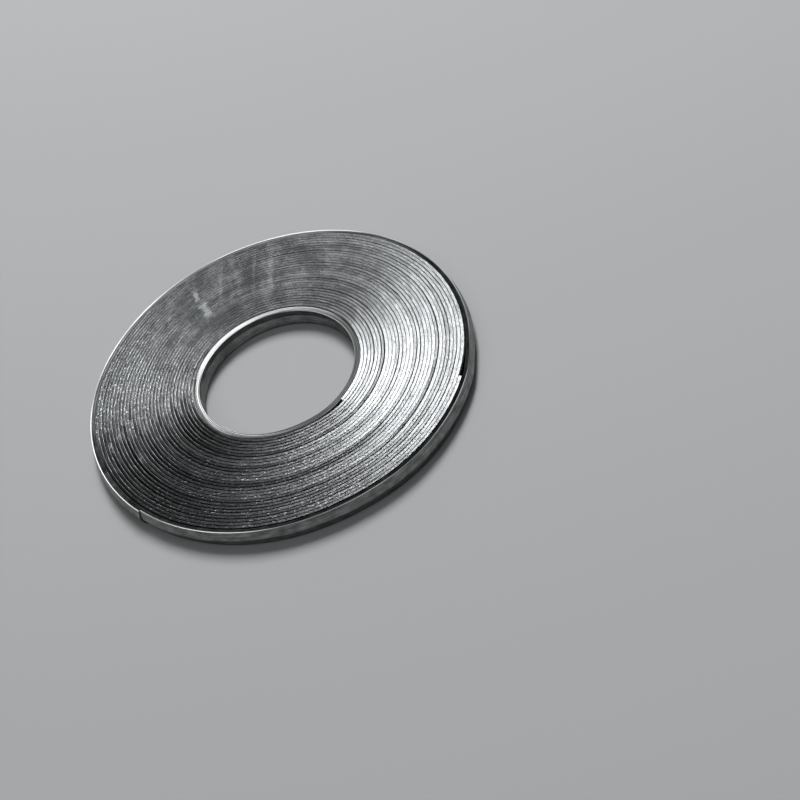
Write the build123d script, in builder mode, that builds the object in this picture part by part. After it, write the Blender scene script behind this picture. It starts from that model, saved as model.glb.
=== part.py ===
from build123d import *
import math
import os

# Spiral wound gasket, basic type: one continuous strip of chevron-rolled
# stainless steel is wound together with a strip of flexible graphite into a
# flat ring. The first and last turns are bare metal, spot welded.
# Origin: centre of the bottom face. +Z is the axis of the ring. Millimetres.

# ---- steel strip -----------------------------------------------------------
bore_diameter = 26.6         # across the innermost ply, its flanks run out to full height
strip_thickness = 0.20       # sheet thickness, square to the sloping flanks
strip_height = 3.20          # edge to edge, parallel to the axis
chevron_depth = 0.50         # how far the ridge bulges outward from the edges
inner_plies = 5              # bare plies inside the first layer of graphite
outer_plies = 3              # bare plies outside the last layer of graphite
ply_gap = 0.04               # springy gap between two bare plies

# ---- graphite strip --------------------------------------------------------
filler_thickness = 0.36      # square to the sloping flanks, after winding
filler_layers = 29
filler_stand_out = 0.20      # how far graphite stands above the steel edges
seating_gap = 0.01           # between graphite and the steel on either side

# ---- winding ---------------------------------------------------------------
# Angles count anticlockwise from +X, seen from above, as the strip winds outward.
climb_angle = 40.0           # every turn steps outward in the sector from 0 to here
filler_overlap = 22.5        # how far the graphite ends past the angle it starts at
settle_angle = 16.0          # sector in which the steel sinks behind the graphite's end
strip_end_angle = 307.0      # where the strip starts at the bore and ends at the rim

# ---- spot welds ------------------------------------------------------------
weld_diameter = 0.80
weld_spacing = 4.00          # along the circumference
weld_end_distance = 1.60     # from the cut end of the strip to the first weld
dimple_radius = 1.20         # of the rounded electrode tip
dimple_depth = 0.07
rim_weld_count = 3
bore_weld_count = 2

# ---- worked out ------------------------------------------------------------
half_height = strip_height / 2
flank_length = math.hypot(half_height, chevron_depth)
flank_slope = chevron_depth / half_height
mid_plane = half_height + filler_stand_out

# The strip is slit square to its flanks, so each edge leans in towards the bore
# and its inner corner lies lower than its outer one.
edge_drop = strip_thickness * chevron_depth / flank_length

# Thicknesses measured level, along a radius, instead of square to the flank.
strip_level = strip_thickness * flank_length / half_height
filler_level = filler_thickness * flank_length / half_height
bare_pitch = strip_level + ply_gap
wound_pitch = strip_level + filler_level + 2 * seating_gap

filler_end_angle = climb_angle + filler_overlap
last_wound_turn = inner_plies + filler_layers
last_turn = last_wound_turn + outer_plies


def turn_radius(turn):
    """Radius where a ply's inner face would reach full height, at the end of a turn."""
    bare_inside = min(turn, inner_plies)
    wound = min(max(turn - inner_plies, 0), filler_layers)
    bare_outside = max(turn - last_wound_turn, 0)
    return bore_diameter / 2 + (bare_inside + bare_outside) * bare_pitch + wound * wound_pitch


def polar(radius, angle):
    """Point in the ring's plane at mid height."""
    return Vector(
        radius * math.cos(math.radians(angle)),
        radius * math.sin(math.radians(angle)),
        mid_plane,
    )


def step(start, span, before, after):
    """Two arcs of opposite bend that carry a ply smoothly to another radius.

    An arc is its centre, its start and end angle and its radius. Steps of one
    height share their centres, so neighbouring plies stay parallel in them.
    """
    shift = (after - before) / 2 / (1 - math.cos(math.radians(span / 2)))
    return [
        (polar(shift, start + 180), start, start + span / 2, before + shift),
        (polar(shift, start + span), start + span / 2, start + span, after - shift),
    ]


def turn_arcs(turn):
    """One turn of the spiral, as arcs along the inner top edge of the strip.

    The plies outside the last graphite run over its end and then sink by the
    thickness that is missing there.
    """
    ring_centre = polar(0, 0)
    rest = turn_radius(turn)
    if turn <= last_wound_turn:
        climb = step(0, climb_angle, turn_radius(turn - 1), rest)
        return climb + [(ring_centre, climb_angle, 360, rest)]
    crest = rest + wound_pitch - bare_pitch
    climb = step(0, climb_angle, turn_radius(turn - 1), crest)
    over_the_end = (ring_centre, climb_angle, filler_end_angle, crest)
    sink = step(filler_end_angle, settle_angle, crest, rest)
    return climb + [over_the_end] + sink + [(ring_centre, filler_end_angle + settle_angle, 360, rest)]


def winding(first_turn, first_angle, end_turn, end_angle):
    """The arcs from one place on the spiral to another, trimmed at both ends."""
    arcs = []
    for turn in range(first_turn, end_turn + 1):
        low = first_angle if turn == first_turn else 0
        high = end_angle if turn == end_turn else 360
        for centre, start, end, radius in turn_arcs(turn):
            if min(end, high) > max(start, low):
                arcs.append((centre, max(start, low), min(end, high), radius))
    return arcs


def chevron(inset, thickness, half_tall, inner_drop):
    """Corners of a chevron section, as level distances and heights.

    inset is measured level from the inner face of the steel ply. The flanks
    keep the steel's slope, however tall the section is. inner_drop is how much
    shorter the inner face is than the outer one, at each edge.
    """
    ridge = inset + chevron_depth
    inner_tall = half_tall - inner_drop
    inner_edge = ridge - flank_slope * inner_tall
    outer_edge = ridge + thickness - flank_slope * half_tall
    return [
        (inner_edge, inner_tall),
        (outer_edge, half_tall),
        (ridge + thickness, 0),
        (outer_edge, -half_tall),
        (inner_edge, -inner_tall),
        (ridge, 0),
    ]


def wind(arcs, corners):
    """Lay one chevron section along the arcs, as one closed solid."""
    skin = ShapeList()
    for number, (centre, start, end, radius) in enumerate(arcs):
        outward = polar(1, start) - polar(0, 0)
        across = Plane(origin=centre, x_dir=outward, z_dir=outward.cross(Vector(0, 0, 1)))
        with BuildPart() as stretch:
            with BuildSketch(across):
                with BuildLine():
                    Polyline([(radius + out, up) for out, up in corners], close=True)
                make_face()
            revolve(axis=Axis(centre, (0, 0, 1)), revolution_arc=end - start, clean=False)
        cuts = stretch.faces().filter_by(GeomType.PLANE).filter_by(Axis.Z, reverse=True)
        cuts = cuts.sort_by_distance(centre + outward * radius)
        skin += stretch.faces() - cuts
        if number == 0:
            skin.append(cuts[0])
        if number == len(arcs) - 1:
            skin.append(cuts[-1])
    return Solid(Shell(skin))


def weld_places(count, direction):
    """Angles of a row of spot welds, counted from the cut end of the strip."""
    radius = bore_diameter / 2 if direction > 0 else turn_radius(last_turn)
    steps = [weld_end_distance + number * weld_spacing for number in range(count)]
    return [strip_end_angle + direction * math.degrees(step / radius) for step in steps]


def ridge_radius(turn):
    """Radius of the inner face of a ply at its ridge, on the round part."""
    return turn_radius(turn) + chevron_depth


# A nugget ends halfway through both plies, clear of the flanks' slope.
nugget_inset = strip_level / 2 - flank_slope * weld_diameter / 4

strip_path = winding(0, strip_end_angle, last_turn, strip_end_angle)
filler_path = winding(inner_plies, climb_angle, last_wound_turn, filler_end_angle)
strip_section = chevron(0, strip_level, half_height, edge_drop)
filler_section = chevron(strip_level + seating_gap, filler_level, mid_plane, 0)

# ---- steel winding: one strip, from the bore to the rim ----------------------
with BuildPart() as metal_winding:
    add(wind(strip_path, strip_section))
    for inner_turn, count, direction in (
        (0, bore_weld_count, 1),
        (last_turn - 1, rim_weld_count, -1),
    ):
        for angle in weld_places(count, direction):
            start = polar(ridge_radius(inner_turn) + nugget_inset, angle)
            with Locations(Plane(origin=start, z_dir=polar(1, angle) - polar(0, 0))):
                Cylinder(weld_diameter / 2, bare_pitch, align=(Align.CENTER, Align.CENTER, Align.MIN))
    tip_at_rim = ridge_radius(last_turn) + strip_level + dimple_radius - dimple_depth
    tip_at_bore = ridge_radius(0) - dimple_radius + dimple_depth
    for radius, count, direction in (
        (tip_at_bore, bore_weld_count, 1),
        (tip_at_rim, rim_weld_count, -1),
    ):
        for angle in weld_places(count, direction):
            with Locations(polar(radius, angle)):
                Sphere(dimple_radius, mode=Mode.SUBTRACT)
metal_winding.part.label = "metal_winding"

# ---- graphite filler: one strip between the steel turns ----------------------
with BuildPart() as graphite_filler:
    add(wind(filler_path, filler_section))
graphite_filler.part.label = "graphite_filler"

os.makedirs("parts", exist_ok=True)
for piece in (metal_winding, graphite_filler):
    export_step(piece.part, f"parts/{piece.part.label}.step")
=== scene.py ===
# Spiral wound gasket, basic type: the look of the ring that is wound from a
# chevron-rolled stainless strip and a strip of flexible graphite.
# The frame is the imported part's: metres, +Z up, the ring lies on the floor at Z = 0.

import math

import bpy
from mathutils import Matrix, Vector


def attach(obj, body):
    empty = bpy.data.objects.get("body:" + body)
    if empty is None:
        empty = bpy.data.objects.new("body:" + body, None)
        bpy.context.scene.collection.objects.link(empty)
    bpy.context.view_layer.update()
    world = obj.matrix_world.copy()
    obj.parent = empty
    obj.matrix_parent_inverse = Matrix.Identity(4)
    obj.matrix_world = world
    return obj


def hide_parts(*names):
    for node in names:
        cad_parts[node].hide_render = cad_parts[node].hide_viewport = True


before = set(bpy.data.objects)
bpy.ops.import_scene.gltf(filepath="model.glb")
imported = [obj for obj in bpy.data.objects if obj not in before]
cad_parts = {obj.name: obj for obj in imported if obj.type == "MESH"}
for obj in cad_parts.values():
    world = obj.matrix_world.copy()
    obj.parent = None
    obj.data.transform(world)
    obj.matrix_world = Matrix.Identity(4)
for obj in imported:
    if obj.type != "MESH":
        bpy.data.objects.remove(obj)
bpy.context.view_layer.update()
scene = bpy.context.scene

MM = 0.001

# ---- sizes of the winding, the same as in the part's source, in metres -----------
bore_radius = 13.3 * MM          # to the inner top edge of the first ply
strip_thickness = 0.20 * MM
half_height = 1.60 * MM          # of the steel strip
chevron_depth = 0.50 * MM
inner_plies = 5
outer_plies = 3
ply_gap = 0.04 * MM
filler_thickness = 0.36 * MM
filler_layers = 29
filler_stand_out = 0.20 * MM
seating_gap = 0.01 * MM
climb_angle = 40.0
filler_overlap = 22.5
settle_angle = 16.0
strip_end_angle = 307.0
weld_spacing = 4.00 * MM
weld_end_distance = 1.60 * MM
dimple_radius = 1.20 * MM
dimple_depth = 0.07 * MM
tint_width = 1.60 * MM           # how far a weld's heat tint reaches from its middle
rim_welds = 3
bore_welds = 2

# A leaning strip measures more across than its thickness.
level = math.hypot(half_height, chevron_depth) / half_height
strip_level = strip_thickness * level
filler_level = filler_thickness * level
bare_pitch = strip_level + ply_gap
wound_pitch = strip_level + filler_level + 2 * seating_gap
mid_plane = half_height + filler_stand_out
filler_end_angle = climb_angle + filler_overlap
wound_radius = bore_radius + inner_plies * bare_pitch
wound_end_radius = wound_radius + filler_layers * wound_pitch
rim_radius = wound_end_radius + outer_plies * bare_pitch
strip_end_turn = inner_plies + filler_layers + outer_plies + strip_end_angle / 360
last_ply_starts = strip_end_turn - 1
# The two rows of spot welds: how many, which way round they run from the strip's end,
# the radius of the turn they are on, and the radius of the ridge that they dent.
weld_rows = [
    (rim_welds, -1.0, rim_radius, rim_radius + chevron_depth + strip_level),
    (bore_welds, 1.0, bore_radius, bore_radius + chevron_depth),
]

# ---- traces of pressing and handling -----------------------------------------------
# Where the face was rubbed, and how far the rubbing reaches round the ring, in degrees.
rub_angle = 194.0
rub_core = 64.0
rub_reach = 104.0
# Where the crevices gape most; the rubbing has shut the rest.
gape_angle = 312.0
# Where the flakes were laid flattest, and round which the face is painted darker, as painted shade.
burnish_angle = 142.0
shade_angle = 176.0
# How far each crevice between two layers of graphite stays open, from the bore out, as a
# share. It holds at one angle of a turn, and changes evenly from there to the next turn's.
crevices = [
    0.3, 0.5, 0.3, 0.7, 0.2, 0.4, 0.95, 0.0, 0.1, 0.0, 0.6, 0.3, 0.0, 0.1, 0.0,
    0.7, 0.55, 0.3, 0.0, 0.1, 0.0, 0.95, 0.1, 0.4, 0.5, 0.1, 0.6, 0.1,
]
crevice_angle = 72.0
curve_turns = 40.0               # the turns that the curve of these shares has room for
# Scuffs across the turns: where each starts and ends and how wide it is, in mm, and how bright.
scuffs = [
    ((-26.8, -11.6), (-22.7, -11.0), 1.1, 1.0),
    ((-22.9, -10.8), (-17.5, -9.2), 2.1, 1.0),
    ((-30.8, 0.6), (-19.1, -1.2), 0.9, 0.4),
    ((-31.6, 3.9), (-17.8, 1.8), 1.4, 0.4),
    ((-31.1, -5.9), (-17.7, -7.3), 1.2, 0.3),
]


def on_upper_face(angle):
    """The place on the upper face at this angle, midway across the graphite."""
    radius = (wound_radius + wound_end_radius) / 2
    turned = math.radians(angle)
    return (radius * math.cos(turned), radius * math.sin(turned), mid_plane + half_height)


rub_place = on_upper_face(rub_angle)
burnish_place = on_upper_face(burnish_angle)
shade_place = on_upper_face(shade_angle)


def add_node(tree, kind, inputs=(), **settings):
    """Add a node with its settings. An input is a value or another node's socket."""
    node = tree.nodes.new(kind)
    for name, value in settings.items():
        setattr(node, name, value)
    pairs = inputs.items() if isinstance(inputs, dict) else enumerate(inputs)
    for key, value in pairs:
        if isinstance(value, bpy.types.NodeSocket):
            tree.links.new(value, node.inputs[key])
        elif value is not None:
            node.inputs[key].default_value = value
    return node


# ---- the rule of the winding, as one tree for both strips --------------------------
# The rule is worked out in sums. A row is a sum's name, its kind and its terms, each an
# earlier name or a number.
def turn_start_sums(name, turn):
    """The radius at which a turn starts: the bore, and the bare and wound turns inside it."""
    return [
        (name + " inner", "MINIMUM", turn, "Inner Plies"),
        (name + " past inner", "SUBTRACT", turn, "Inner Plies"),
        (name + " past inner cut", "MAXIMUM", name + " past inner", 0.0),
        (name + " wound", "MINIMUM", name + " past inner cut", "Filler Layers"),
        (name + " past wound", "SUBTRACT", name + " past inner", "Filler Layers"),
        (name + " outer", "MAXIMUM", name + " past wound", 0.0),
        (name + " bare", "ADD", name + " inner", name + " outer"),
        (name + " bare width", "MULTIPLY_ADD", name + " bare", "Bare Pitch", "Bore Radius"),
        (name, "MULTIPLY_ADD", name + " wound", "Wound Pitch", name + " bare width"),
    ]


turn_sums = [
    ("row in parts", "DIVIDE", "index", "corners"),
    ("row", "FLOOR", "row in parts"),
    ("row start", "MULTIPLY", "row", "corners"),
    ("corner", "SUBTRACT", "index", "row start"),
    ("part of length", "DIVIDE", "row", "Steps"),
    # Even steps along the strip, though each turn is longer than the last.
    ("start squared", "MULTIPLY", "Start Radius", "Start Radius"),
    ("end squared", "MULTIPLY", "End Radius", "End Radius"),
    ("growth", "SUBTRACT", "end squared", "start squared"),
    ("grown", "MULTIPLY_ADD", "part of length", "growth", "start squared"),
    ("radius here", "SQRT", "grown"),
    ("radius gained", "SUBTRACT", "radius here", "Start Radius"),
    ("whole gain", "SUBTRACT", "End Radius", "Start Radius"),
    ("gain share", "DIVIDE", "radius gained", "whole gain"),
    ("turns in all", "SUBTRACT", "Last Turn", "First Turn"),
    ("turns", "MULTIPLY_ADD", "gain share", "turns in all", "First Turn"),
    ("turn", "FLOOR", "turns"),
    ("part of turn", "SUBTRACT", "turns", "turn"),
    ("angle", "MULTIPLY", "part of turn", 2 * math.pi),
    ("turn before", "SUBTRACT", "turn", 1.0),
    ("mean radius", "ADD", "Start Radius", "radius here"),
    ("turns so far", "SUBTRACT", "turns", "First Turn"),
    ("along in turns", "MULTIPLY", "mean radius", "turns so far"),
    ("along", "MULTIPLY", "along in turns", math.pi),
]
arc_sums = [
    # Past the filler, a turn first climbs as if it went on, and settles on the steel after its end.
    ("is outside", "GREATER_THAN", "rest past wound", 0.5),
    ("missing", "SUBTRACT", "Wound Pitch", "Bare Pitch"),
    ("crest", "MULTIPLY_ADD", "is outside", "missing", "rest"),
    ("climb", "RADIANS", "Climb Angle"),
    ("half climb", "MULTIPLY", "climb", 0.5),
    ("over the end", "RADIANS", "Filler End Angle"),
    ("settle", "RADIANS", "Settle Angle"),
    ("half settle", "MULTIPLY", "settle", 0.5),
    ("sinking", "ADD", "over the end", "half settle"),
    ("settled", "ADD", "over the end", "settle"),
    # How far an arc's centre leaves the ring's, so that two arcs make one step.
    ("cos climb", "COSINE", "half climb"),
    ("climb bow", "MULTIPLY_ADD", "cos climb", -2.0, 2.0),
    ("climb rise", "SUBTRACT", "crest", "before"),
    ("climb shift", "DIVIDE", "climb rise", "climb bow"),
    ("cos settle", "COSINE", "half settle"),
    ("settle bow", "MULTIPLY_ADD", "cos settle", -2.0, 2.0),
    ("settle rise", "SUBTRACT", "rest", "crest"),
    ("settle shift", "DIVIDE", "settle rise", "settle bow"),
    ("climb radius 1", "ADD", "before", "climb shift"),
    ("climb radius 2", "SUBTRACT", "crest", "climb shift"),
    ("settle radius 1", "ADD", "crest", "settle shift"),
    ("settle radius 2", "SUBTRACT", "rest", "settle shift"),
    ("climb shift back", "MULTIPLY", "climb shift", -1.0),
    ("settle shift back", "MULTIPLY", "settle shift", -1.0),
    # Which of a turn's six arcs a point is on.
    ("past 1", "GREATER_THAN", "angle", "half climb"),
    ("past 2", "GREATER_THAN", "angle", "climb"),
    ("past 3", "GREATER_THAN", "angle", "over the end"),
    ("past 4", "GREATER_THAN", "angle", "sinking"),
    ("past 5", "GREATER_THAN", "angle", "settled"),
    ("arc a", "ADD", "past 1", "past 2"),
    ("arc b", "ADD", "arc a", "past 3"),
    ("arc c", "ADD", "arc b", "past 4"),
    ("arc", "ADD", "arc c", "past 5"),
]
# What differs from arc to arc, in the arcs' order.
arc_values = {
    "centre distance": ("climb shift back", "climb shift", 0.0, "settle shift back", "settle shift", 0.0),
    "centre angle": (0.0, "climb", 0.0, "over the end", "settled", 0.0),
    "radius": ("climb radius 1", "climb radius 2", "crest", "settle radius 1", "settle radius 2", "rest"),
}
# Where a point reads each noise: along the strip, on a row of its own for every seed and
# edge, far enough from the other rows to have nothing in common with them.
wander_sums = [
    ("along in wanders", "DIVIDE", "along", "Wander Length"),
    ("seed step", "MULTIPLY", "Seed", 17.3),
    ("side", "SIGN", "edge_play"),
    ("edge row", "MULTIPLY_ADD", "side", 3.7, "seed step"),
    ("outer row", "ADD", "seed step", 41.0),
    ("inner row", "ADD", "seed step", 77.0),
    ("turn share", "DIVIDE", "turns", curve_turns),
    # The rubbed sector, as the cosines of the angles where rubbing starts and where it is full.
    ("rub middle", "RADIANS", "Rub Angle"),
    ("from rub", "SUBTRACT", "angle", "rub middle"),
    ("rub cosine", "COSINE", "from rub"),
    ("rub reach", "RADIANS", "Rub Reach"),
    ("rub limit", "COSINE", "rub reach"),
    ("rub core", "RADIANS", "Rub Core"),
    ("rub full", "COSINE", "rub core"),
]
# Each noise, the row that it is read on and how often it swings in a wander length.
wander_noises = [
    ("edge noise", "edge row", 1.0),
    ("outer noise", "outer row", 0.6),
    ("inner noise", "inner row", 0.6),
    ("gape noise", "inner row", 0.15),
]
corner_sums = [
    ("edge swing", "SUBTRACT", "edge noise", 0.5),
    ("edge reach", "MULTIPLY", "edge_play", "Edge Wander"),
    ("out wandered", "MULTIPLY_ADD", "edge swing", "edge reach", "out"),
    ("outer play", "MAXIMUM", "edge_play", 0.0),
    # A crevice is open in stretches only: where the noise is low, it stays shut.
    ("opening here", "MULTIPLY_ADD", "gape noise", 2.4, -0.4),
    ("opening kept", "MAXIMUM", "opening here", 0.0),
    ("opening now", "MULTIPLY", "opening", "opening kept"),
    # The rubbed side is pressed shut, and one side gapes, some crevices more than others.
    ("gape middle", "RADIANS", "Gape Angle"),
    ("from gape", "SUBTRACT", "angle", "gape middle"),
    ("gape cosine", "COSINE", "from gape"),
    ("openness", "MULTIPLY_ADD", "gape cosine", 0.5, 0.5),
    ("not rubbed", "SUBTRACT", 1.0, "rub"),
    ("gape", "MULTIPLY", "openness", "not rubbed"),
    ("layer share", "MULTIPLY_ADD", "opening now", 0.5, 0.6),
    ("gape here", "MULTIPLY", "gape", "layer share"),
    ("side opening", "MULTIPLY", "gape here", "Side Opening"),
    ("opened", "MULTIPLY_ADD", "opening now", "Crevice Opening", "side opening"),
    ("opened here", "MULTIPLY", "opened", "outer play"),
    ("out opened", "SUBTRACT", "out wandered", "opened here"),
    # Rubbing has spread the lips and levelled the crests, whose outer half lies lower elsewhere.
    ("rubbed", "MULTIPLY", "rub", "Rub Spread"),
    ("out rubbed", "MULTIPLY_ADD", "rubbed", "edge_play", "out opened"),
    ("inner drop", "MULTIPLY", "inner noise", "inner_crest"),
    ("both drop", "MULTIPLY_ADD", "outer noise", "outer_crest", "inner drop"),
    ("up wandered", "MULTIPLY_ADD", "both drop", "Crest Wander", "up"),
    ("rub lift", "MULTIPLY", "rub", "Rub Lift"),
    ("rub lift here", "MULTIPLY", "rub lift", "outer_crest"),
    ("up rubbed", "SUBTRACT", "up wandered", "rub lift here"),
    # Bend the section round: out along the arc's radius, from the arc's own centre.
    ("reach", "ADD", "radius", "out rubbed"),
    ("cos angle", "COSINE", "angle"),
    ("sin angle", "SINE", "angle"),
    ("cos centre", "COSINE", "centre angle"),
    ("sin centre", "SINE", "centre angle"),
    ("centre x", "MULTIPLY", "centre distance", "cos centre"),
    ("centre y", "MULTIPLY", "centre distance", "sin centre"),
    ("x", "MULTIPLY_ADD", "reach", "cos angle", "centre x"),
    ("y", "MULTIPLY_ADD", "reach", "sin angle", "centre y"),
    ("z", "ADD", "up rubbed", "Mid Plane"),
]
sharpest_smooth_bend = 18.0      # degrees; an edge that bends by more shows as a sharp one


def wound_strip_tree():
    """Bend a long bar along the spiral. The bar's section is the mesh that the tree is given.

    The section lies in X and Z: X is the level distance out from the inner top edge of
    the steel ply, and Z the height above mid height. Every turn is a round arc, and in
    the climb sector two arcs of opposite bend carry it outward by one pitch. Past the
    filler, two more let it settle on the steel.
    """
    tree = bpy.data.node_groups.new("wound_strip", "GeometryNodeTree")
    tree.is_modifier = True
    sockets = tree.interface
    sockets.new_socket("Section", in_out="INPUT", socket_type="NodeSocketGeometry")
    for name in ("Bore Radius", "Bare Pitch", "Wound Pitch", "Inner Plies", "Filler Layers",
                 "Climb Angle", "Filler End Angle", "Settle Angle", "First Turn", "Last Turn",
                 "Start Radius", "End Radius", "Mid Plane", "Edge Wander", "Crest Wander",
                 "Wander Length", "Crevice Opening", "Side Opening", "Gape Angle",
                 "Rub Spread", "Rub Lift", "Rub Angle", "Rub Core", "Rub Reach"):
        sockets.new_socket(name, in_out="INPUT", socket_type="NodeSocketFloat")
    sockets.new_socket("Steps", in_out="INPUT", socket_type="NodeSocketInt")
    sockets.new_socket("Seed", in_out="INPUT", socket_type="NodeSocketInt")
    sockets.new_socket("Finish", in_out="INPUT", socket_type="NodeSocketMaterial")
    sockets.new_socket("Strip", in_out="OUTPUT", socket_type="NodeSocketGeometry")
    given = tree.nodes.new("NodeGroupInput").outputs
    known = {socket.name: socket for socket in given if socket.name}

    corners = add_node(tree, "GeometryNodeAttributeDomainSize", [given["Section"]]).outputs["Point Count"]
    bar = add_node(tree, "GeometryNodeMeshCylinder",
                   {"Vertices": corners, "Side Segments": given["Steps"]}, fill_type="NGON")
    known["corners"] = corners
    known["index"] = add_node(tree, "GeometryNodeInputIndex").outputs[0]

    # The radius at which the turn before started, from which this one climbs, and this one's own.
    starts = turn_start_sums("before", "turn before") + turn_start_sums("rest", "turn")
    for name, kind, *terms in turn_sums + starts + arc_sums:
        known[name] = add_node(tree, "ShaderNodeMath", [known.get(term, term) for term in terms],
                               operation=kind).outputs[0]
    for name, choices in arc_values.items():
        choice = add_node(tree, "GeometryNodeIndexSwitch", data_type="FLOAT")
        while len(choice.index_switch_items) < len(choices):
            choice.index_switch_items.new()
        tree.links.new(known["arc"], choice.inputs[0])
        for number, term in enumerate(choices, 1):
            if term in known:
                tree.links.new(known[term], choice.inputs[number])
            else:
                choice.inputs[number].default_value = term
        known[name] = choice.outputs[0]

    # The section's corner for this point, and how freely that corner may wander.
    place = add_node(tree, "GeometryNodeInputPosition").outputs[0]
    drawn = add_node(tree, "GeometryNodeSampleIndex",
                     {"Geometry": given["Section"], "Value": place, "Index": known["corner"]},
                     data_type="FLOAT_VECTOR").outputs[0]
    known["out"], _, known["up"] = add_node(tree, "ShaderNodeSeparateXYZ", [drawn]).outputs
    for name in ("edge_play", "inner_crest", "outer_crest"):
        play = add_node(tree, "GeometryNodeInputNamedAttribute", {"Name": name},
                        data_type="FLOAT").outputs[0]
        known[name] = add_node(tree, "GeometryNodeSampleIndex",
                               {"Geometry": given["Section"], "Value": play, "Index": known["corner"]},
                               data_type="FLOAT").outputs[0]
    for name, kind, *terms in wander_sums:
        known[name] = add_node(tree, "ShaderNodeMath", [known.get(term, term) for term in terms],
                               operation=kind).outputs[0]
    for name, row, swings in wander_noises:
        at = add_node(tree, "ShaderNodeCombineXYZ", [known["along in wanders"], known[row]]).outputs[0]
        known[name] = add_node(tree, "ShaderNodeTexNoise",
                               {"Vector": at, "Scale": swings, "Detail": 3.0, "Roughness": 0.6},
                               noise_dimensions="2D").outputs[0]
    opening = add_node(tree, "ShaderNodeFloatCurve", {"Value": known["turn share"]})
    points = opening.mapping.curves[0].points
    for layer, share in enumerate(crevices):
        points.new((inner_plies + layer + crevice_angle / 360) / curve_turns, share)
    for point in points:
        point.handle_type = "VECTOR"
    opening.mapping.update()
    known["opening"] = opening.outputs[0]
    # The rubbed sector's border is as frayed as the edges.
    frayed = add_node(tree, "ShaderNodeMath", [known["edge noise"], 0.5], operation="SUBTRACT").outputs[0]
    frayed = add_node(tree, "ShaderNodeMath", [frayed, known["rub cosine"]], operation="ADD").outputs[0]
    known["rub"] = add_node(tree, "ShaderNodeMapRange",
                            {"Value": frayed, "From Min": known["rub limit"],
                             "From Max": known["rub full"]}, interpolation_type="SMOOTHSTEP").outputs[0]
    for name, kind, *terms in corner_sums:
        known[name] = add_node(tree, "ShaderNodeMath", [known.get(term, term) for term in terms],
                               operation=kind).outputs[0]
    bent = add_node(tree, "ShaderNodeCombineXYZ", [known["x"], known["y"], known["z"]]).outputs[0]

    strip = bar.outputs["Mesh"]
    for name, value in (("strip_along", "along"), ("strip_across", "out"), ("strip_turn", "turns")):
        strip = add_node(tree, "GeometryNodeStoreNamedAttribute",
                         {"Geometry": strip, "Name": name, "Value": known[value]},
                         data_type="FLOAT", domain="POINT").outputs[0]
    strip = add_node(tree, "GeometryNodeSetPosition", {"Geometry": strip, "Position": bent}).outputs[0]
    # Bending the bar this way round has turned it inside out.
    strip = add_node(tree, "GeometryNodeFlipFaces", [strip]).outputs[0]
    strip = add_node(tree, "GeometryNodeSetShadeSmooth", {"Geometry": strip}, domain="FACE").outputs[0]
    bend = add_node(tree, "GeometryNodeInputMeshEdgeAngle").outputs["Unsigned Angle"]
    sharp = add_node(tree, "FunctionNodeCompare", {"A": bend, "B": math.radians(sharpest_smooth_bend)},
                     data_type="FLOAT", operation="GREATER_THAN").outputs[0]
    strip = add_node(tree, "GeometryNodeSetShadeSmooth",
                     {"Geometry": strip, "Selection": sharp, "Shade Smooth": False},
                     domain="EDGE").outputs[0]
    strip = add_node(tree, "GeometryNodeRealizeInstances", [strip]).outputs[0]
    strip = add_node(tree, "GeometryNodeSetMaterial",
                     {"Geometry": strip, "Material": given["Finish"]}).outputs[0]
    tree.links.new(strip, tree.nodes.new("NodeGroupOutput").inputs[0])
    return tree


# Where the balls that press a row of dents stand, in the same kind of sums.
weld_sums = [
    ("from end", "MULTIPLY_ADD", "index", "Spacing", "End Distance"),
    ("turned", "DIVIDE", "from end", "Turn Radius"),
    ("end", "RADIANS", "End Angle"),
    ("angle", "MULTIPLY_ADD", "turned", "Way Round", "end"),
    ("cos angle", "COSINE", "angle"),
    ("sin angle", "SINE", "angle"),
    ("x", "MULTIPLY", "cos angle", "Ball Place"),
    ("y", "MULTIPLY", "sin angle", "Ball Place"),
]


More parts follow.
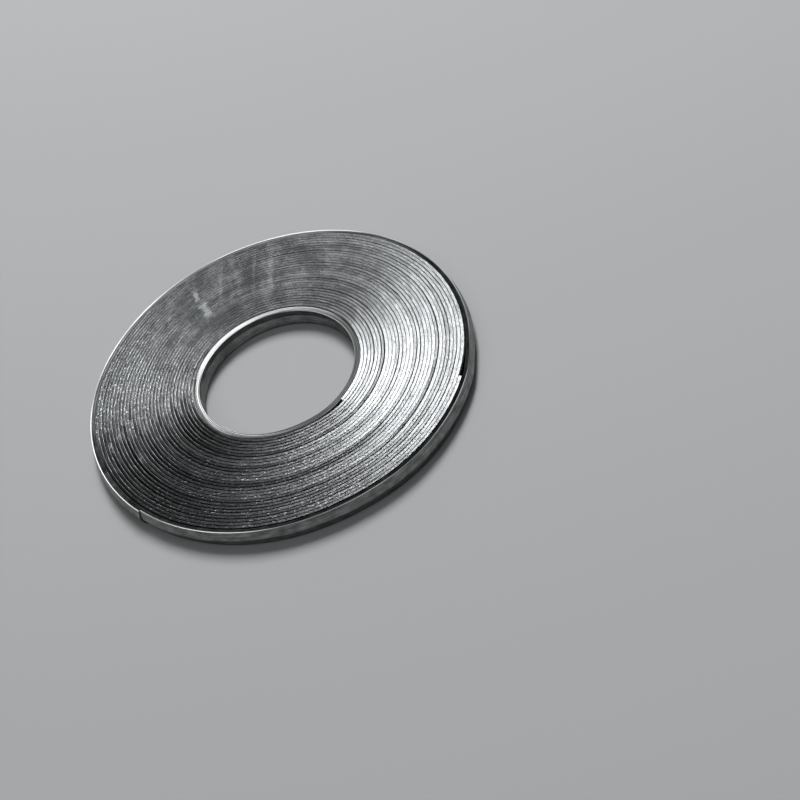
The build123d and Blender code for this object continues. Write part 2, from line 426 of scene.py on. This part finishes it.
def weld_dent_tree():
    """Press a row of round dents into a strip, as a spot welder's electrode does."""
    tree = bpy.data.node_groups.new("spot_weld_dents", "GeometryNodeTree")
    tree.is_modifier = True
    sockets = tree.interface
    sockets.new_socket("Strip", in_out="INPUT", socket_type="NodeSocketGeometry")
    for name in ("End Angle", "Way Round", "End Distance", "Spacing", "Turn Radius",
                 "Ball Radius", "Ball Place", "Mid Plane"):
        sockets.new_socket(name, in_out="INPUT", socket_type="NodeSocketFloat")
    sockets.new_socket("Welds", in_out="INPUT", socket_type="NodeSocketInt")
    sockets.new_socket("Finish", in_out="INPUT", socket_type="NodeSocketMaterial")
    sockets.new_socket("Dented Strip", in_out="OUTPUT", socket_type="NodeSocketGeometry")
    given = tree.nodes.new("NodeGroupInput").outputs
    known = {socket.name: socket for socket in given if socket.name}
    known["index"] = add_node(tree, "GeometryNodeInputIndex").outputs[0]
    for name, kind, *terms in weld_sums:
        known[name] = add_node(tree, "ShaderNodeMath", [known.get(term, term) for term in terms],
                               operation=kind).outputs[0]
    at = add_node(tree, "ShaderNodeCombineXYZ", [known["x"], known["y"], known["Mid Plane"]]).outputs[0]
    points = add_node(tree, "GeometryNodePoints", {"Count": known["Welds"], "Position": at}).outputs[0]
    ball = add_node(tree, "GeometryNodeMeshUVSphere",
                    {"Segments": 64, "Rings": 48, "Radius": known["Ball Radius"]}).outputs["Mesh"]
    ball = add_node(tree, "GeometryNodeSetShadeSmooth", {"Geometry": ball}, domain="FACE").outputs[0]
    # Each ball's pole faces the strip, so that the dent is made of fine rings.
    turned = add_node(tree, "ShaderNodeCombineXYZ", [0.0, math.pi / 2, known["angle"]]).outputs[0]
    balls = add_node(tree, "GeometryNodeInstanceOnPoints",
                     {"Points": points, "Instance": ball, "Rotation": turned}).outputs[0]
    balls = add_node(tree, "GeometryNodeRealizeInstances", [balls]).outputs[0]
    cut = add_node(tree, "GeometryNodeMeshBoolean", {"Mesh 1": given["Strip"], "Mesh 2": balls},
                   operation="DIFFERENCE", solver="EXACT").outputs
    strip = add_node(tree, "GeometryNodeSetShadeSmooth",
                     {"Geometry": cut["Mesh"], "Selection": cut["Intersecting Edges"],
                      "Shade Smooth": False}, domain="EDGE").outputs[0]
    # The dents' faces are new, and take their place along the strip from the strip as it was.
    for name in ("strip_along", "strip_across", "strip_turn"):
        whole = add_node(tree, "GeometryNodeInputNamedAttribute", {"Name": name},
                         data_type="FLOAT").outputs[0]
        nearest = add_node(tree, "GeometryNodeSampleNearestSurface",
                           {"Mesh": given["Strip"], "Value": whole}, data_type="FLOAT").outputs["Value"]
        strip = add_node(tree, "GeometryNodeStoreNamedAttribute",
                         {"Geometry": strip, "Name": name, "Value": nearest},
                         data_type="FLOAT", domain="POINT").outputs[0]
    strip = add_node(tree, "GeometryNodeSetMaterial",
                     {"Geometry": strip, "Material": given["Finish"]}).outputs[0]
    tree.links.new(strip, tree.nodes.new("NodeGroupOutput").inputs[0])
    return tree


def wind(name, section, *steps):
    """Wind a strip of the given section, and leave it as a plain mesh.

    A step is a tree and its inputs, and the steps follow one another.
    """
    outline = bpy.data.meshes.new(name + "_section")
    outline.from_pydata([(out, 0.0, up) for out, up, *_ in section], [], [])
    for column, play in enumerate(("edge_play", "inner_crest", "outer_crest"), 2):
        values = outline.attributes.new(play, "FLOAT", "POINT")
        values.data.foreach_set("value", [corner[column] for corner in section])
    drawing = bpy.data.objects.new(name + "_section", outline)
    scene.collection.objects.link(drawing)
    for tree, sizes in steps:
        step = drawing.modifiers.new(tree.name, "NODES")
        step.node_group = tree
        for item in tree.interface.items_tree:
            if item.in_out == "INPUT" and item.name in sizes:
                step[item.identifier] = sizes[item.name]
    ready = drawing.evaluated_get(bpy.context.evaluated_depsgraph_get())
    mesh = bpy.data.meshes.new_from_object(ready)
    mesh.name = name
    bpy.data.objects.remove(drawing)
    bpy.data.meshes.remove(outline)
    strip = bpy.data.objects.new(name, mesh)
    scene.collection.objects.link(strip)
    return strip


# ---- sections, drawn in mm ---------------------------------------------------------
# A corner is its level distance out and its height, then how much it moves sideways
# with its edge (minus at the inner edge) and how much it sinks with the inner and with
# the outer half of the crest.
def both_faces(upper, ridge_outer, ridge_inner):
    """A closed section from its upper half, which the lower half mirrors, in metres."""
    lower = [(out, -up, edge, -inner, -outer) for out, up, edge, inner, outer in reversed(upper)]
    still = (0, 0, 0)
    corners = upper + [(*corner, *still) for corner in ridge_outer]
    corners += lower + [(*corner, *still) for corner in ridge_inner]
    return [(out * MM, up * MM, edge, -inner, -outer) for out, up, edge, inner, outer in corners]


top = half_height / MM
ridge = chevron_depth / MM
steel_outer = strip_level / MM
graphite_inner = (strip_level + seating_gap) / MM
graphite_outer = (strip_level + seating_gap + filler_level) / MM
# Slit, so that the inner corner is rolled over and the edge leans in towards the bore. The
# rolls have rounded the ridge, and its corners fall short of a sharp one by these amounts.
slit_height = 0.10
ridge_reach = 0.16
steel_section = both_faces(
    upper=[(ridge * slit_height / top, top - slit_height, 0, 0, 0), (0.0215, top - 0.065, 0, 0, 0),
           (0.030, top - 0.041, 0, 0, 0), (0.060, top - 0.027, 0, 0, 0),
           (0.135, top - 0.012, 0, 0, 0), (steel_outer, top, 0, 0, 0)],
    ridge_outer=[(steel_outer + ridge - short, up) for short, up in
                 ((0.0645, ridge_reach), (0.0415, 0.0), (0.0645, -ridge_reach))],
    ridge_inner=[(ridge - short, up) for short, up in
                 ((0.064, -ridge_reach), (0.041, 0.0), (0.064, ridge_reach))],
)
# Pressed out over the steel into a lip on either side, and dragged down a little outwards.
inner_lip = 0.085
outer_lip = 0.668
graphite_section = both_faces(
    upper=[(graphite_inner, top, 0, 0, 0), (0.100, top + 0.080, -1, 0.3, 0),
           (0.082, top + 0.162, -1, 0.9, 0), (0.090, top + 0.188, -1, 1, 0),
           (0.130, top + 0.198, -1, 1, 0), (0.655, top + 0.121, 1, 0, 1),
           (0.672, top + 0.105, 1, 0, 0.9), (0.640, top + 0.040, 1, 0, 0.2),
           (graphite_outer, top, 0, 0, 0)],
    ridge_outer=[(graphite_outer + ridge, 0.0)],
    ridge_inner=[(graphite_inner + ridge, 0.0)],
)


# ---- finishes ----------------------------------------------------------------------
def linear(hex_colour):
    """An sRGB hex colour as linear red, green, blue and full alpha."""
    shades = [int(hex_colour[i:i + 2], 16) / 255 for i in (1, 3, 5)]
    return [s / 12.92 if s <= 0.04045 else ((s + 0.055) / 1.055) ** 2.4 for s in shades] + [1.0]


def per_mm(*counts):
    """The scales of a pattern that repeats so many times in a mm, along each axis."""
    return tuple(count / MM for count in counts)


def new_material(name, constants):
    """A new material, its node tree and its shader, which takes the constants on its own sockets."""
    material = bpy.data.materials.new(name)
    material.use_nodes = True
    shader = material.node_tree.nodes["Principled BSDF"]
    for socket, value in constants.items():
        shader.inputs[socket].default_value = value
    return material, material.node_tree, shader


def above_middle(grain, place):
    """How far a point is above or below the ring's mid plane."""
    height = add_node(grain, "ShaderNodeSeparateXYZ", [place]).outputs["Z"]
    height = add_node(grain, "ShaderNodeMath", [height, mid_plane], operation="SUBTRACT").outputs[0]
    return add_node(grain, "ShaderNodeMath", [height], operation="ABSOLUTE").outputs[0]


def with_weld_tints(grain, place, bare_tone):
    """Grey where the electrode pressed, then blue, then straw that fades into the bare steel."""
    nearest = tint_width
    for welds, way, turn_radius, ridge_radius in weld_rows:
        for weld in range(welds):
            from_end = weld_end_distance + weld * weld_spacing
            turned = math.radians(strip_end_angle) + way * from_end / turn_radius
            weld_place = (ridge_radius * math.cos(turned), ridge_radius * math.sin(turned), mid_plane)
            from_weld = add_node(grain, "ShaderNodeVectorMath", [place, weld_place],
                                 operation="DISTANCE").outputs["Value"]
            nearest = add_node(grain, "ShaderNodeMath", [from_weld, nearest],
                               operation="MINIMUM").outputs[0]
    nearest = add_node(grain, "ShaderNodeMath", [nearest, tint_width], operation="DIVIDE").outputs[0]
    tint = add_node(grain, "ShaderNodeValToRGB", [nearest])
    tint.color_ramp.elements[0].color = (*linear("#77787A")[:3], 0.6)
    tint.color_ramp.elements[1].color = (*linear("#9A8561")[:3], 0.0)
    for spot, colour, strength in ((0.28, "#5B6070", 0.6), (0.55, "#9A8561", 0.5)):
        tint.color_ramp.elements.new(spot).color = (*linear(colour)[:3], strength)
    return add_node(grain, "ShaderNodeMix",
                    {"Factor": tint.outputs["Alpha"], "A": bare_tone, "B": tint.outputs["Color"]},
                    data_type="RGBA").outputs["Result"]


# Stainless steel strip, cold rolled bright and slit: grey metal with a satin gloss,
# fine lines along the strip from the rolls, and straw and blue tints round a weld.
def stainless_finish():
    """The steel's material: rolled flanks, slit edges, soot from the graphite and the welds' tints."""
    steel, grain, shader = new_material("cold_rolled_stainless_strip",
                                        {"Metallic": 1.0, "Anisotropic": 0.4})
    along = add_node(grain, "ShaderNodeAttribute", attribute_name="strip_along").outputs["Fac"]
    turns = add_node(grain, "ShaderNodeAttribute", attribute_name="strip_turn").outputs["Fac"]
    place = add_node(grain, "ShaderNodeTexCoord").outputs["Object"]
    height = add_node(grain, "ShaderNodeSeparateXYZ", [place]).outputs["Z"]

    # Rolling lines are about 0.05 mm apart; these are 0.17 mm, to show, and 5 mm long.
    on_strip = add_node(grain, "ShaderNodeCombineXYZ", [along, height, turns]).outputs[0]
    lines_at = add_node(grain, "ShaderNodeVectorMath", [on_strip, (*per_mm(0.2, 6.0), 3.0)],
                        operation="MULTIPLY").outputs[0]
    rolling = add_node(grain, "ShaderNodeTexNoise",
                       {"Vector": lines_at, "Scale": 1.0, "Detail": 2.0}).outputs[0]
    # Cloudy patches some 2 mm across, where the oil and graphite dust of winding dried.
    dust_at = add_node(grain, "ShaderNodeVectorMath", [place, per_mm(0.5, 0.5, 0.9)],
                       operation="MULTIPLY").outputs[0]
    dust = add_node(grain, "ShaderNodeTexNoise",
                    {"Vector": dust_at, "Scale": 1.0, "Detail": 3.0}).outputs[0]
    streaked = add_node(grain, "ShaderNodeMath", [dust, rolling], operation="MULTIPLY").outputs[0]
    streaked = add_node(grain, "ShaderNodeMapRange",
                        {"Value": streaked, "From Min": 0.12, "From Max": 0.42}).outputs[0]
    flank_tone = add_node(grain, "ShaderNodeMix",
                          {"Factor": streaked, "A": linear("#5E5F60"), "B": linear("#A4A4A3")},
                          data_type="RGBA").outputs["Result"]

    # The slit edge is fresh metal, brighter than the handled flanks, and each ply's has its own tone.
    slit_starts = half_height - slit_height * MM
    on_edge = add_node(grain, "ShaderNodeMapRange",
                       {"Value": above_middle(grain, place), "From Min": slit_starts,
                        "From Max": slit_starts + 0.07 * MM}).outputs[0]
    ply_at = add_node(grain, "ShaderNodeCombineXYZ", [along, turns]).outputs[0]
    ply_at = add_node(grain, "ShaderNodeVectorMath", [ply_at, (*per_mm(0.06), 3.7, 0.0)],
                      operation="MULTIPLY").outputs[0]
    ply_tone = add_node(grain, "ShaderNodeTexNoise",
                        {"Vector": ply_at, "Scale": 1.0, "Detail": 1.0}).outputs[0]
    ply_tone = add_node(grain, "ShaderNodeMapRange",
                        {"Value": ply_tone, "From Min": 0.32, "From Max": 0.68}).outputs[0]
    edge_tone = add_node(grain, "ShaderNodeMix",
                         {"Factor": ply_tone, "A": linear("#5A5B5C"), "B": linear("#BABBBB")},
                         data_type="RGBA").outputs["Result"]
    clean_tone = add_node(grain, "ShaderNodeMix", {"Factor": on_edge, "A": flank_tone, "B": edge_tone},
                          data_type="RGBA").outputs["Result"]

    # Every ply but the bare ones at the bore and the last at the rim is painted near black: partly graphite
    # soot, partly painted shade where these plies lie down in the crevices and in the band between face and
    # rim; less so where the face was rubbed.
    soot_and_shade_starts = inner_plies - 0.3
    past_bore = add_node(grain, "ShaderNodeMath", [turns, soot_and_shade_starts], operation="GREATER_THAN").outputs[0]
    before_rim = add_node(grain, "ShaderNodeMath", [turns, last_ply_starts],
                          operation="LESS_THAN").outputs[0]
    sooty_and_shaded = add_node(grain, "ShaderNodeMath", [past_bore, before_rim], operation="MULTIPLY").outputs[0]
    soot_and_shade = add_node(grain, "ShaderNodeMapRange",
                    {"Value": dust, "From Min": 0.3, "From Max": 0.6,
                     "To Min": 0.82, "To Max": 0.95}).outputs[0]
    from_rub = add_node(grain, "ShaderNodeVectorMath", [place, rub_place],
                        operation="DISTANCE").outputs["Value"]
    wiped = add_node(grain, "ShaderNodeMapRange",
                     {"Value": from_rub, "From Min": 40 * MM, "From Max": 24 * MM,
                      "To Min": 1.0, "To Max": 0.6}, interpolation_type="SMOOTHSTEP").outputs[0]
    for share in (wiped, sooty_and_shaded):
        soot_and_shade = add_node(grain, "ShaderNodeMath", [soot_and_shade, share], operation="MULTIPLY").outputs[0]
    # Soot and painted shade: the sooty plies are mixed towards near black here.
    tone = add_node(grain, "ShaderNodeMix", {"Factor": soot_and_shade, "A": clean_tone, "B": linear("#121213")},
                    data_type="RGBA").outputs["Result"]
    tone = with_weld_tints(grain, place, tone)
    grain.links.new(tone, shader.inputs["Base Color"])

    # Soot and painted shade, and the slit's torn metal, are rougher than the rolled flanks.
    gloss = add_node(grain, "ShaderNodeMapRange",
                     {"Value": rolling, "To Min": 0.34, "To Max": 0.46}).outputs[0]
    for rougher, strength in ((soot_and_shade, 0.2), (on_edge, 0.10)):
        gloss = add_node(grain, "ShaderNodeMath", [rougher, strength, gloss],
                         operation="MULTIPLY_ADD").outputs[0]
    grain.links.new(gloss, shader.inputs["Roughness"])
    relief = add_node(grain, "ShaderNodeBump",
                      {"Strength": 0.25, "Distance": 0.01 * MM, "Height": rolling}).outputs[0]
    grain.links.new(relief, shader.inputs["Normal"])
    ring_way = add_node(grain, "ShaderNodeTangent", direction_type="RADIAL", axis="Z").outputs[0]
    grain.links.new(ring_way, shader.inputs["Tangent"])
    return steel


def flake_grain(grain, on_strip, upright_share):
    """The flakes' tones, the pores between them, and the normals that their tilts give."""
    # Flakes laid along the strip. Real ones are under 0.1 mm; these are about 0.2 mm,
    # as coarse as they need to be to show.
    flakes_at = add_node(grain, "ShaderNodeVectorMath", [on_strip, (*per_mm(4.9, 6.5), 3.0)],
                         operation="MULTIPLY").outputs[0]
    flakes = add_node(grain, "ShaderNodeTexVoronoi", {"Vector": flakes_at, "Scale": 1.0}).outputs["Color"]
    flake_tone = add_node(grain, "ShaderNodeSeparateXYZ", [flakes]).outputs[0]
    pores = add_node(grain, "ShaderNodeTexNoise",
                     {"Vector": flakes_at, "Scale": 1.0, "Detail": 2.0}).outputs[0]
    # Most flakes lie nearly flat, and a few stand up and sparkle, but not where they were burnished.
    flakes = add_node(grain, "ShaderNodeVectorMath", [flakes, (0.5, 0.5, 0.5)],
                      operation="SUBTRACT").outputs[0]
    steepness = add_node(grain, "ShaderNodeVectorMath", [flakes, flakes],
                         operation="DOT_PRODUCT").outputs["Value"]
    steepness = add_node(grain, "ShaderNodeMath", [steepness, 2.0], operation="POWER").outputs[0]
    steepness = add_node(grain, "ShaderNodeMath", [steepness, 0.9, 0.03],
                         operation="MULTIPLY_ADD").outputs[0]
    steepness = add_node(grain, "ShaderNodeMath", [steepness, upright_share],
                         operation="MULTIPLY").outputs[0]
    tilt = add_node(grain, "ShaderNodeVectorMath", {"Vector": flakes, "Scale": steepness},
                    operation="SCALE").outputs[0]
    upright = add_node(grain, "ShaderNodeNewGeometry").outputs["Normal"]
    tilted = add_node(grain, "ShaderNodeVectorMath", [upright, tilt], operation="ADD").outputs[0]
    tilted = add_node(grain, "ShaderNodeVectorMath", [tilted], operation="NORMALIZE").outputs[0]
    return flake_tone, pores, tilted


def scuff_marks(grain, place, ragged):
    """The scuffs that show most, on the upper face: ragged bars with soft ends."""
    marks = 0.0
    for (from_x, from_y), (to_x, to_y), width, bright in scuffs:
        length = math.hypot(to_x - from_x, to_y - from_y)
        across_bar = add_node(grain, "ShaderNodeMapping", {
            "Vector": place, "Location": ((from_x + to_x) / 2 * MM, (from_y + to_y) / 2 * MM, 0),
            "Rotation": (0, 0, math.atan2(to_y - from_y, to_x - from_x)),
            "Scale": (length / 2 * MM, width / 2 * MM, 1.0)}, vector_type="TEXTURE").outputs[0]
        across_bar = add_node(grain, "ShaderNodeVectorMath", [across_bar], operation="ABSOLUTE").outputs[0]
        lengthwise, widthwise, _ = add_node(grain, "ShaderNodeSeparateXYZ", [across_bar]).outputs
        bar = add_node(grain, "ShaderNodeMath", [lengthwise, widthwise], operation="MAXIMUM").outputs[0]
        bar = add_node(grain, "ShaderNodeMath", [ragged, 2.4, bar], operation="MULTIPLY_ADD").outputs[0]
        bar = add_node(grain, "ShaderNodeMapRange",
                       {"Value": bar, "From Min": 2.2, "From Max": 1.5, "To Max": bright},
                       interpolation_type="SMOOTHSTEP").outputs[0]
        marks = add_node(grain, "ShaderNodeMath", [bar, marks], operation="MAXIMUM").outputs[0]
    height = add_node(grain, "ShaderNodeSeparateXYZ", [place]).outputs["Z"]
    on_top = add_node(grain, "ShaderNodeMath", [height, mid_plane], operation="GREATER_THAN").outputs[0]
    return add_node(grain, "ShaderNodeMath", [marks, on_top], operation="MULTIPLY").outputs[0]


def crest_outside_painted_shade(grain, place, across):
    """One on a layer's crest, and nought on its lips' walls and in the crevice between two layers, where
    the face is painted near black as painted shade.
    """
    high = add_node(grain, "ShaderNodeMapRange",
                    {"Value": above_middle(grain, place), "From Min": half_height + 0.02 * MM,
                     "From Max": half_height + 0.10 * MM}).outputs[0]
    crest_middle = (inner_lip + outer_lip) / 2 * MM
    crest_reach = (outer_lip - inner_lip) / 2 * MM
    off_middle = add_node(grain, "ShaderNodeMath", [across, crest_middle], operation="SUBTRACT").outputs[0]
    off_middle = add_node(grain, "ShaderNodeMath", [off_middle], operation="ABSOLUTE").outputs[0]
    on_crest = add_node(grain, "ShaderNodeMapRange",
                        {"Value": off_middle, "From Min": crest_reach,
                         "From Max": crest_reach - 0.005 * MM}).outputs[0]
    return add_node(grain, "ShaderNodeMath", [high, on_crest], operation="MULTIPLY").outputs[0]


# Flexible graphite foil: a soft semi-metal, dark with a grey metallic sheen. The pressed
# worms of graphite give it a grain of small flakes that each catch the light.
def graphite_finish():
    """The graphite's material: flakes, wear, smears, scuffs, and painted shade in the crevices and on one
    side.
    """
    graphite, grain, shader = new_material("flexible_graphite_foil", {"Metallic": 1.0})
    along = add_node(grain, "ShaderNodeAttribute", attribute_name="strip_along").outputs["Fac"]
    across = add_node(grain, "ShaderNodeAttribute", attribute_name="strip_across").outputs["Fac"]
    turns = add_node(grain, "ShaderNodeAttribute", attribute_name="strip_turn").outputs["Fac"]
    place = add_node(grain, "ShaderNodeTexCoord").outputs["Object"]
    on_strip = add_node(grain, "ShaderNodeCombineXYZ", [along, across, turns]).outputs[0]

    # How strongly each trace of handling, and the painted shade, shows: the distances from its middle, in
    # mm, between which it changes, and its strength at the first and at the second.
    traces = {}
    for name, middle, first, second, strength, last_strength, change in (
            ("upright flakes", burnish_place, 18, 46, 0.2, 1.4, "LINEAR"),
            ("scuffs", rub_place, 18, 6, 0.0, 1.0, "SMOOTHSTEP"),
            ("smears", rub_place, 36, 18, 0.15, 0.9, "LINEAR"),
            # Painted shade: the face is painted darker round the shade angle.
            ("painted shade", shade_place, 34, 14, 0.0, -0.36, "SMOOTHSTEP")):
        distance = add_node(grain, "ShaderNodeVectorMath", [place, middle],
                            operation="DISTANCE").outputs["Value"]
        traces[name] = add_node(grain, "ShaderNodeMapRange",
                                {"Value": distance, "From Min": first * MM, "From Max": second * MM,
                                 "To Min": strength, "To Max": last_strength},
                                interpolation_type=change).outputs[0]

    flake_tone, pores, tilted = flake_grain(grain, on_strip, traces["upright flakes"])
    # Each pattern's place, how often it repeats along each axis, its detail and its roughness.
    patterns = {}
    for name, at, repeats, detail, roughness in (
            # Worn and sooty patches 1 to 4 mm long, as the strip was fed and pressed.
            ("wear", on_strip, (*per_mm(0.42, 1.5), 2.0), 3.0, 0.5),
            # Each layer was pressed a little differently, so some turns are greyer than others.
            ("layer", on_strip, (*per_mm(0.012, 0.0), 1.7), 1.0, 0.5),
            # Smears 2 to 8 mm across, left on the face by fingers and by the press plate.
            ("smear", place, per_mm(0.19, 0.26, 0.19), 4.0, 0.65)):
        at = add_node(grain, "ShaderNodeVectorMath", [at, repeats], operation="MULTIPLY").outputs[0]
        patterns[name] = add_node(grain, "ShaderNodeTexNoise",
                                  {"Vector": at, "Scale": 1.0, "Detail": detail,
                                   "Roughness": roughness}).outputs[0]
    smear = add_node(grain, "ShaderNodeMath", [patterns["smear"], 0.5], operation="SUBTRACT").outputs[0]
    smear = add_node(grain, "ShaderNodeMath", [smear, traces["smears"], 0.5],
                     operation="MULTIPLY_ADD").outputs[0]
    # Faint scuffs about 2 mm wide and 18 mm long that cross the winding, on the rubbed side only.
    scuff_at = add_node(grain, "ShaderNodeMapping",
                        {"Vector": place, "Rotation": (0, 0, math.radians(8)),
                         "Scale": per_mm(0.055, 0.42, 0.055)}).outputs[0]
    scuff = add_node(grain, "ShaderNodeTexNoise",
                     {"Vector": scuff_at, "Scale": 1.0, "Detail": 2.0}).outputs[0]
    scuff = add_node(grain, "ShaderNodeMath", [scuff, 0.5], operation="SUBTRACT").outputs[0]
    scuff = add_node(grain, "ShaderNodeMath", [scuff, traces["scuffs"]], operation="MULTIPLY").outputs[0]
    marks = scuff_marks(grain, place, patterns["wear"])

    # All of it polishes the face or dulls it, each with its own strength, and round the shade angle the
    # face is painted darker, as painted shade.
    polish = smear
    for trace, strength in ((patterns["wear"], 0.5), (patterns["layer"], 0.5), (flake_tone, 0.34),
                            (scuff, 0.7), (marks, 0.66)):
        polish = add_node(grain, "ShaderNodeMath", [trace, strength, polish],
                          operation="MULTIPLY_ADD").outputs[0]
    polish = add_node(grain, "ShaderNodeMath", [polish, traces["painted shade"]], operation="ADD").outputs[0]
    polish = add_node(grain, "ShaderNodeMapRange",
                      {"Value": polish, "From Min": 0.67, "From Max": 1.73}).outputs[0]
    tone = add_node(grain, "ShaderNodeMix",
                    {"Factor": polish, "A": linear("#323334"), "B": linear("#7B7D7E")},
                    data_type="RGBA").outputs["Result"]
    # Painted shade: the crevices and the lips' walls are painted near black.
    tone = add_node(grain, "ShaderNodeMix",
                    {"Factor": crest_outside_painted_shade(grain, place, across), "A": linear("#0F1011"), "B": tone},
                    data_type="RGBA").outputs["Result"]
    grain.links.new(tone, shader.inputs["Base Color"])
    gloss = add_node(grain, "ShaderNodeMapRange",
                     {"Value": polish, "To Min": 0.34, "To Max": 0.27}).outputs[0]
    grain.links.new(gloss, shader.inputs["Roughness"])
    relief = add_node(grain, "ShaderNodeBump",
                      {"Strength": 1.0, "Distance": 0.02 * MM, "Height": pores,
                       "Normal": tilted}).outputs[0]
    grain.links.new(relief, shader.inputs["Normal"])
    return graphite


# ---- the two strips ----------------------------------------------------------------
steel = stainless_finish()
graphite = graphite_finish()
winding = wound_strip_tree()
denting = weld_dent_tree()
common = {
    "Bore Radius": bore_radius, "Bare Pitch": bare_pitch, "Wound Pitch": wound_pitch,
    "Inner Plies": float(inner_plies), "Filler Layers": float(filler_layers),
    "Climb Angle": climb_angle, "Filler End Angle": filler_end_angle,
    "Settle Angle": settle_angle, "Mid Plane": mid_plane, "Gape Angle": gape_angle,
    "Rub Angle": rub_angle, "Rub Core": rub_core, "Rub Reach": rub_reach,
}
# The steps keep a strip's facets too short to show and its triangles under 200,000.
wound_steel = (winding, common | {
    "First Turn": strip_end_angle / 360, "Last Turn": strip_end_turn,
    "Start Radius": bore_radius, "End Radius": rim_radius,
    "Edge Wander": 0.0, "Crest Wander": 0.0, "Wander Length": 3 * MM,
    "Crevice Opening": 0.0, "Side Opening": 0.0, "Rub Spread": 0.0, "Rub Lift": 0.0,
    "Steps": 5000, "Seed": 1, "Finish": steel,
})
dented_rows = [(denting, {
    "End Angle": strip_end_angle, "End Distance": weld_end_distance, "Spacing": weld_spacing,
    "Way Round": way, "Turn Radius": turn_radius, "Welds": welds,
    "Ball Radius": dimple_radius, "Ball Place": ridge_radius - way * (dimple_radius - dimple_depth),
    "Mid Plane": mid_plane, "Finish": steel,
}) for welds, way, turn_radius, ridge_radius in weld_rows]
wound_graphite = (winding, common | {
    "First Turn": inner_plies + climb_angle / 360,
    "Last Turn": inner_plies + filler_layers + filler_end_angle / 360,
    "Start Radius": wound_radius, "End Radius": wound_end_radius,
    "Edge Wander": 0.035 * MM, "Crest Wander": 0.04 * MM, "Wander Length": 4 * MM,
    "Crevice Opening": 0.16 * MM, "Side Opening": 0.25 * MM,
    "Rub Spread": 0.008 * MM, "Rub Lift": 0.062 * MM,
    "Steps": 4700, "Seed": 4, "Finish": graphite,
})
steel_strip = wind("wound_steel_strip", steel_section, wound_steel, *dented_rows)
graphite_strip = wind("wound_graphite_strip", graphite_section, wound_graphite)
for strip, node, slot in ((steel_strip, "metal_winding", "stainless_strip"),
                          (graphite_strip, "graphite_filler", "flexible_graphite")):
    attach(strip, "root")
    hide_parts(node)

# ---- floor, light and camera -------------------------------------------------------
floor_reach = 3.0
floor_mesh = bpy.data.meshes.new("floor")
floor_mesh.from_pydata([(x * floor_reach, y * floor_reach, 0)
                        for x, y in ((-1, -1), (1, -1), (1, 1), (-1, 1))], [], [(0, 1, 2, 3)])
floor = bpy.data.objects.new("floor", floor_mesh)
scene.collection.objects.link(floor)
card, _, _ = new_material("pale_grey_card", {"Base Color": linear("#AFB1B2"), "Roughness": 0.9})
floor_mesh.materials.append(card)


def soft_light(name, angle, elevation, distance, wide, tall, watts):
    """A rectangular white softbox that faces the ring from an angle and an elevation, in degrees."""
    lamp = bpy.data.lights.new(name, "AREA")
    lamp.shape = "RECTANGLE"
    lamp.size, lamp.size_y = wide, tall
    lamp.energy = watts
    around, up = math.radians(angle), math.radians(elevation)
    away = Vector((math.cos(around) * math.cos(up), math.sin(around) * math.cos(up), math.sin(up)))
    stand = bpy.data.objects.new(name, lamp)
    stand.rotation_mode = "QUATERNION"
    stand.location = away * distance
    stand.rotation_quaternion = away.to_track_quat("Z", "Y")
    scene.collection.objects.link(stand)


# The key makes the bright fan across the turns, the fill and the low card light the rubbed
# side, and the two wide ones the rim and what the key leaves dark.
soft_light("key_softbox", 167, 55, 0.9, 0.25, 0.40, 7.1)
soft_light("fill_softbox", 194, 62, 0.9, 0.25, 0.30, 0.6)
soft_light("back_card", 200, 27, 1.2, 0.50, 0.44, 0.36)
soft_light("front_softbox", 20, 66, 1.1, 0.8, 0.5, 0.9)
soft_light("side_softbox", 305, 50, 1.3, 0.9, 0.5, 1.5)

world = bpy.data.worlds.new("studio")
scene.world = world
world.use_nodes = True
room = world.node_tree.nodes["Background"]
room.inputs["Color"].default_value = linear("#C9CDD0")
room.inputs["Strength"].default_value = 0.07

camera_place = Vector((189.8, 33.0, 187.2)) * MM
look_at = Vector((15.6, 18.5, 3.4)) * MM
camera_roll = -22.6
camera = bpy.data.objects.new("camera", bpy.data.cameras.new("camera"))
scene.collection.objects.link(camera)
camera.data.lens = 71.8
camera.data.clip_start, camera.data.clip_end = 0.01, 20
aimed = (look_at - camera_place).to_track_quat("-Z", "Y").to_matrix()
rolled = aimed @ Matrix.Rotation(math.radians(camera_roll), 3, "Z")
camera.matrix_world = Matrix.Translation(camera_place) @ rolled.to_4x4()
scene.camera = camera
scene.view_settings.view_transform = "Standard"
